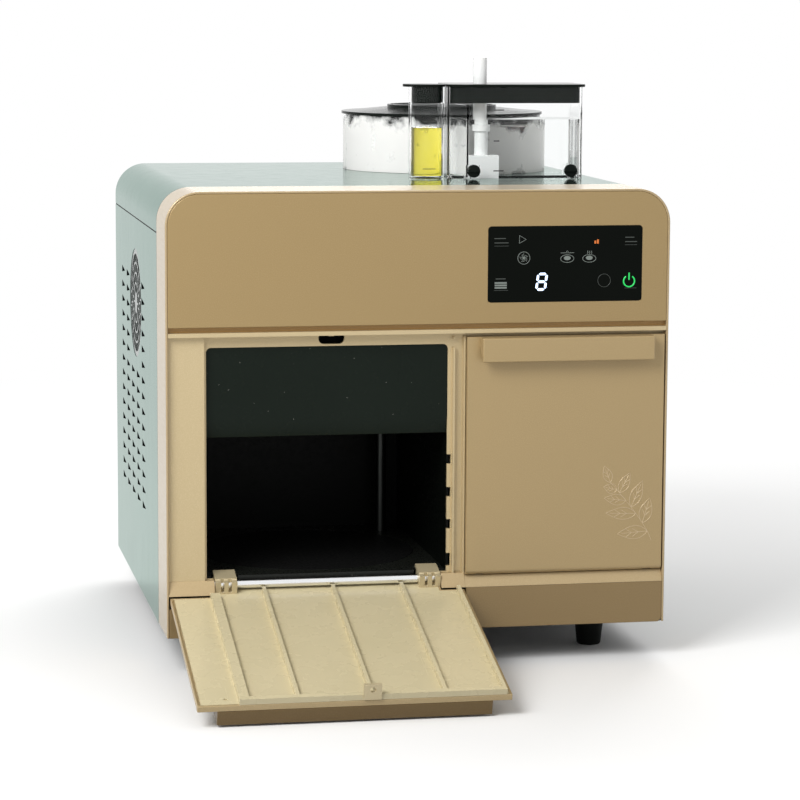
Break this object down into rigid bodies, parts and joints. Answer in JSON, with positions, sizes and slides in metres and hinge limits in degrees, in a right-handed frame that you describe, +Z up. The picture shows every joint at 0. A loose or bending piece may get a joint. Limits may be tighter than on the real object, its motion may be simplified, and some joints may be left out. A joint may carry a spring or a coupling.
{
  "type": "electric roti maker",
  "caption": "Automatic flatbread maker with a fold-down discharge door, a baking chamber with a plate press, and lift-off flour, oil and water containers.",
  "frame": {"origin": "on the worktop, at the middle of the body's width and depth, level with the undersides of the feet", "axes": "+X to the right seen from the front, +Y into the depth away from the user, +Z up"},
  "size_m": [0.42, 0.6089, 0.5],
  "materials": {
    "gold_paint": "satin gold paint",
    "light_gold_paint": "satin light gold paint",
    "door_cream": "smooth cream plastic",
    "black_gloss": "glossy",
    "black_matte": "matte",
    "gloss_shell": "high gloss",
    "brown_trim": "matte",
    "display_black": "polished",
    "board_green": "solder mask",
    "dark_enamel": "dark enamel",
    "non_stick": "non-stick coat",
    "bare_steel": "brushed",
    "rod_chrome": "polished",
    "heater_metal": "heat tinted",
    "cast_alloy": "cast",
    "nut_brass": "machined",
    "motor_grey": "satin",
    "clear_plastic": "clear",
    "white_plastic": "smooth",
    "foot_rubber": "matte",
    "grille_dark": "satin"
  },
  "bodies": {
    "housing": {"base_pan": "black_matte", "feet": "foot_rubber", "front_frame": "gold_paint", "front_bezel": "light_gold_paint", "control_fascia": "gold_paint", "fascia_undercut": "brown_trim", "display_glass": "display_black", "control_board": "board_green", "base_fascia": "gold_paint", "sill_strip": "gold_paint", "top_cover": "gloss_shell", "left_side_panel": "gloss_shell", "round_grille": "grille_dark", "right_side_panel": "gloss_shell", "rear_panel": "black_matte", "cavity_liner": "dark_enamel", "cavity_visor": "black_gloss", "discharge_tray": "dark_enamel", "lower_hot_plate": "non_stick", "lower_heater": "heater_metal", "press_bridge": "bare_steel", "guide_rods": "bare_steel", "press_gearbox": "cast_alloy", "press_motor": "motor_grey", "hinge_rod": "rod_chrome", "latch_catch": "black_matte", "right_hinge_lugs": "bare_steel", "bay_liner": "white_plastic", "kneading_motor": "motor_grey", "fan_frame": "black_matte", "auger_tube": "white_plastic", "power_inlet": "black_matte", "power_board": "board_green"},
    "discharge_door": {"left_door_skin": "gold_paint", "left_door_liner": "door_cream", "left_door_handle": "gold_paint", "left_hinge_arms": "light_gold_paint", "left_latch_tab": "light_gold_paint"},
    "right_door": {"right_door_panel": "gold_paint", "right_door_handle": "gold_paint"},
    "press": {"press_head": "cast_alloy", "press_screw": "bare_steel", "upper_hot_plate": "non_stick", "upper_heater": "heater_metal"},
    "drive_nut": {"drive_nut": "nut_brass"},
    "paddle": {"kneading_paddle": "white_plastic"},
    "cup": {"kneading_cup": "clear_plastic", "cup_lid": "black_matte"},
    "flour_screw": {"auger_screw": "bare_steel"},
    "fan": {"fan_rotor": "black_matte"},
    "rocker": {"power_rocker": "black_matte"},
    "flour_container": {"flour_container": "clear_plastic"},
    "flour_lid": {"flour_lid": "black_gloss"},
    "oil_container": {"oil_container": "clear_plastic"},
    "oil_lid": {"oil_lid": "black_gloss"},
    "water_tank": {"water_tank": "clear_plastic", "uptake_tube": "white_plastic"},
    "tank_lid": {"tank_lid": "black_gloss"},
    "left_catch": {"tank_catch_left": "black_matte"},
    "right_catch": {"tank_catch_right": "black_matte"}
  },
  "joints": [
    {"name": "discharge_door_swing", "type": "hinge", "parent": "housing", "child": "discharge_door", "pos_m": [-0.07575, -0.2, 0.073], "axis": [-1, 0, 0], "range_deg": [0, 104.6]},
    {"name": "right_door_swing", "type": "hinge", "parent": "housing", "child": "right_door", "pos_m": [0.123, -0.206, 0.08], "axis": [1, 0, 0], "range_deg": [0, 90]},
    {"name": "press_travel", "type": "slide", "parent": "housing", "child": "press", "axis": [0, 0, -1], "range_m": [0, 0.112]},
    {"name": "drive_nut_turn", "type": "hinge", "parent": "housing", "child": "drive_nut", "pos_m": [-0.07575, -0.0879, 0.257], "axis": [0, 0, 1], "range_deg": [0, 2521]},
    {"name": "paddle_turn", "type": "hinge", "parent": "housing", "child": "paddle", "pos_m": [0.123, -0.112, 0.087], "axis": [0, 0, 1], "continuous": true},
    {"name": "cup_turn", "type": "hinge", "parent": "housing", "child": "cup", "pos_m": [0.123, -0.112, 0.087], "axis": [0, 0, 1], "range_deg": [0, 30]},
    {"name": "flour_screw_turn", "type": "hinge", "parent": "housing", "child": "flour_screw", "pos_m": [0.0795, 0.098, 0.365], "axis": [0.2028, -0.9792, 0], "continuous": true},
    {"name": "fan_spin", "type": "hinge", "parent": "housing", "child": "fan", "pos_m": [-0.195, 0.028, 0.283], "axis": [1, 0, 0], "continuous": true},
    {"name": "rocker_tilt", "type": "hinge", "parent": "housing", "child": "rocker", "pos_m": [0.168, 0.205, 0.072], "axis": [1, 0, 0], "range_deg": [0, 14]},
    {"name": "flour_container_lift", "type": "slide", "parent": "housing", "child": "flour_container", "axis": [0, 0, 1], "range_m": [0, 0.12]},
    {"name": "flour_lid_lift", "type": "slide", "parent": "flour_container", "child": "flour_lid", "axis": [0, 0, 1], "range_m": [0, 0.06]},
    {"name": "oil_container_lift", "type": "slide", "parent": "housing", "child": "oil_container", "axis": [0, 0, 1], "range_m": [0, 0.12]},
    {"name": "oil_lid_lift", "type": "slide", "parent": "oil_container", "child": "oil_lid", "axis": [0, 0, 1], "range_m": [0, 0.04]},
    {"name": "water_tank_lift", "type": "slide", "parent": "housing", "child": "water_tank", "axis": [0, 0, 1], "range_m": [0, 0.12]},
    {"name": "tank_lid_lift", "type": "slide", "parent": "water_tank", "child": "tank_lid", "axis": [0, 0, 1], "range_m": [0, 0.06]},
    {"name": "left_catch_turn", "type": "hinge", "parent": "water_tank", "child": "left_catch", "pos_m": [0.075, -0.061, 0.4026], "axis": [0, 1, 0], "range_deg": [0, 90]},
    {"name": "right_catch_turn", "type": "hinge", "parent": "water_tank", "child": "right_catch", "pos_m": [0.1615, -0.061, 0.4026], "axis": [0, 1, 0], "range_deg": [0, 90]}
  ],
  "couplings": [
    {"joint": "drive_nut_turn", "follows": "press_travel", "rad_per_m": 392.7}
  ]
}
